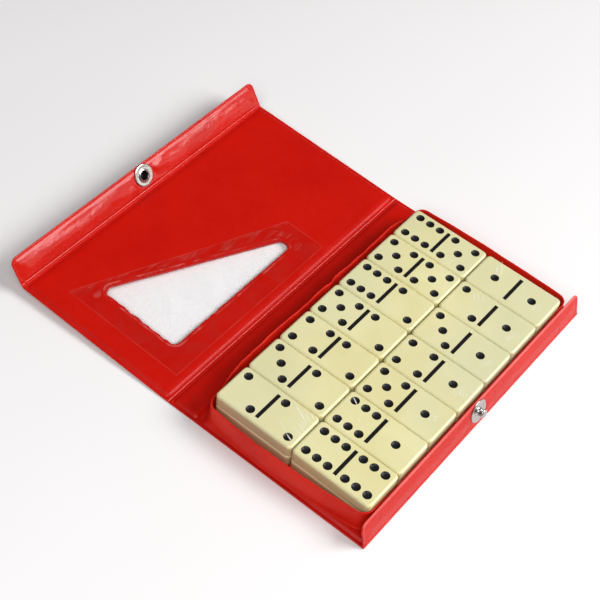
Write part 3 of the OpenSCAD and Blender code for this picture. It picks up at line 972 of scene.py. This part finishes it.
lathe("stud_post", "front_strip", STUD_V, [
    (SNAP_R - 0.3, -0.02), (SNAP_R - 0.05, -0.1), (SNAP_R, -0.28), (SNAP_R - 0.15, -0.44),
    (SNAP_R - 0.5, -0.5), (SNAP_R - 1.2, -0.42), (3.2, -0.2), (2.5, -0.16), (2.1, -0.3), (1.75, -0.7),
    (1.65, -1.3), (1.7, -1.9), (1.85, -2.3), (2.0, -2.6), (2.0, -2.85), (1.85, -3.1), (1.55, -3.3),
    (1.1, -3.39), (0, -3.4), (0, -0.02), (SNAP_R - 0.3, -0.02)],
    ["snap_stud"])
lathe("strip_eyelet", "front_strip", STUD_V, [
    (0, face + 0.12), (0.9, face + 0.12), (1.15, face + 0.2), (1.4, face + 0.34), (1.9, face + 0.4),
    (2.8, face + 0.38), (3.6, face + 0.3), (3.95, face + 0.15), (4.0, face + 0.04), (3.85, face - 0.02),
    (0, face - 0.02), (0, face + 0.12)],
    ["snap_eyelet"])

# ---------- Tiles ----------


def dress_tiles():
    """Ivory on every tile, with black paint on the faces of its pips and bar."""
    for name, obj in nodes.items():
        if not name.startswith("tile_"):
            continue
        mesh = obj.data
        low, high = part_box(name)
        middle = (low + high) / 2
        reach = (high - low) / 2
        mesh.materials.clear()
        mesh.materials.append(IVORY)
        mesh.materials.append(BLACK)
        index = []
        for p in mesh.polygons:
            c = p.center
            deep = c.z < high.z - 0.00001 and c.z > high.z - 0.0009
            within = abs(c.x - middle.x) < reach.x - 0.0016 and abs(c.y - middle.y) < reach.y - 0.0016
            index.append(1 if deep and within else 0)
        mesh.polygons.foreach_set("material_index", index)
        mesh.update()


dress_tiles()


def wrinkles(tile, strokes, seed):
    """Fine raised wrinkles of shrink wrap on one tile's face, coloured near-white as painted glints.

    strokes are (x, y, angle, length), in millimetres and degrees. They stay low enough for the closed lid.
    """
    low, high = mm_box(tile)
    middle, top = (low + high) / 2, high[2]
    verts, faces = [], []
    for k, (sx, sy, angle, length) in enumerate(strokes):
        steps = 9
        first = len(verts)
        bend = 14 * noise.noise(Vector((k * 1.7, seed, 0.5)))
        x, y = middle[0] + sx, middle[1] + sy
        for i in range(steps + 1):
            t = i / steps
            a = math.radians(angle + bend * (t - 0.5) * 2)
            uneven = 1 + 0.4 * noise.noise(Vector((k, t * 3, seed)))
            width = (0.16 + 0.03 * length) * math.sin(math.pi * (0.06 + 0.88 * t)) * uneven
            nx, ny = -math.sin(a), math.cos(a)
            verts += [(x + nx * width, y + ny * width, top - 0.01), (x, y, top + 0.012),
                      (x - nx * width, y - ny * width, top - 0.01)]
            x += math.cos(a) * length / steps
            y += math.sin(a) * length / steps
        for i in range(steps):
            a = first + i * 3
            faces += [(a, a + 1, a + 4, a + 3), (a + 1, a + 2, a + 5, a + 4), (a + 2, a, a + 3, a + 5)]
        end = first + steps * 3
        faces += [(first, first + 2, first + 1), (end, end + 1, end + 2)]
    return new_object(tile.replace("tile", "wrap_glint_wrinkles"), verts, faces, [WRAP_GLINT], tile)


def comb(x, y, angle, count, pitch, length):
    """Short strokes side by side."""
    across = math.radians(angle + 90)
    strokes = []
    for k in range(count):
        along = pitch * (k - count / 2)
        turned = angle + 8 * noise.noise(Vector((k * 1.3, x, y)))
        reach = length * (0.7 + 0.5 * abs(noise.noise(Vector((k, y, x)))))
        strokes.append((x + along * math.cos(across), y + along * math.sin(across), turned, reach))
    return strokes


# Near-white strokes on the tiles: painted glints of the shrink wrap's wrinkles.
WRAP_GLINT = painted_wrap_glint()
wrinkles("tile_2_2", [
    (3.8, -16.5, 66, 10.0), (7.6, -17.0, 62, 3.4), (5.1, -17.3, 61, 5.6), (3.1, -17.6, 86, 4.0),
    (-1.6, -18.2, 80, 5.5), (0.5, -17.9, 74, 4.4), (-4.7, -12.8, 63, 6.2), (-6.6, -18.0, 70, 4.9),
    (1.9, -17.8, 78, 3.2)], 1.0)
wrinkles("tile_6_6", [(-2.0, 14.2, 65, 3.0), (1.2, 3.6, 70, 3.2)], 2.0)
wrinkles("tile_1_6", [(-7.4, 12.8, 15, 2.4), (4.6, 13.0, 60, 4.4), (-1.0, 7.0, 70, 3.0)], 3.0)
wrinkles("tile_1_2", comb(-3.5, -14.6, 70, 5, 1.1, 3.6) + comb(3.0, 8.0, 35, 3, 2.0, 7.0), 4.0)
wrinkles("tile_1_3", comb(-2.8, -14.8, 66, 6, 1.0, 3.9), 5.0)
wrinkles("tile_1_4", comb(-2.2, -14.6, 72, 6, 1.1, 4.2) + comb(-3.0, -15.5, 15, 3, 1.2, 3.8), 6.0)
wrinkles("tile_1_5", comb(1.0, -15.2, 120, 3, 1.1, 2.6), 7.0)
wrinkles("tile_1_1", comb(-2.0, -13.6, 74, 4, 1.2, 3.2) + comb(2.0, 10.5, 30, 2, 2.2, 8.0), 8.0)

# ---------- Floor, light and camera ----------


def stage():
    """The plain floor, just under the case."""
    mesh = bpy.data.meshes.new("floor")
    half = 3.0
    corners = [(-half, -half, 0), (half, -half, 0), (half, half, 0), (-half, half, 0)]
    mesh.from_pydata(corners, [], [(0, 1, 2, 3)])
    floor = bpy.data.objects.new("floor", mesh)
    floor.location.z = -0.00005
    bpy.context.scene.collection.objects.link(floor)
    m, tree, shader, coords = material("floor_white")
    soft = noise_node(tree, coords, 6, 2)
    tree.links.new(mixed(tree, soft, (0.885, 0.868, 0.865), (0.925, 0.91, 0.91)), shader.inputs["Base Color"])
    shader.inputs["Roughness"].default_value = 0.6
    mesh.materials.append(m)


def area(name, place, target, size, power, color=(1, 1, 1)):
    data = bpy.data.lights.new(name, "AREA")
    data.shape = "RECTANGLE"
    data.size, data.size_y = size
    data.energy = power
    data.color = color
    obj = bpy.data.objects.new(name, data)
    obj.location = place
    obj.rotation_euler = (Vector(target) - Vector(place)).to_track_quat("-Z", "Y").to_euler()
    bpy.context.scene.collection.objects.link(obj)


def lights():
    area("key", (0.62, -0.95, 0.95), (0, 0.03, 0), (0.9, 0.7), 21.8)
    area("side", (0.9, -1.25, 0.22), (0, 0.05, 0.02), (0.9, 0.4), 2.2, (1.0, 0.95, 0.9))
    area("fill", (-0.75, -0.25, 1.05), (0, 0.03, 0), (1.0, 1.0), 11.0)
    world = bpy.data.worlds.new("studio")
    bpy.context.scene.world = world
    world.use_nodes = True
    world.node_tree.nodes["Background"].inputs[0].default_value = (0.97, 0.98, 1.0, 1)
    world.node_tree.nodes["Background"].inputs[1].default_value = 0.085


def camera():
    """The photograph's view: place, aim and tilt of the camera, in metres and degrees."""
    place = Vector((-0.3306, -0.1525, 0.4689))
    aim = Vector((0.00041, 0.05236, 0.0))
    data = bpy.data.cameras.new("camera")
    data.sensor_width = 36.0
    data.lens = 83.78
    obj = bpy.data.objects.new("camera", data)
    forward = (aim - place).normalized()
    right = forward.cross(Vector((0, 0, 1))).normalized()
    up = right.cross(forward)
    roll = math.radians(-9.134)
    tilted = up * math.cos(roll) + right * math.sin(roll)
    side = forward.cross(tilted).normalized()
    obj.matrix_world = Matrix.Translation(place) @ Matrix((side, tilted, -forward)).transposed().to_4x4()
    bpy.context.scene.collection.objects.link(obj)
    bpy.context.scene.camera = obj


stage()
lights()
camera()
bpy.context.scene.view_settings.view_transform = "Standard"
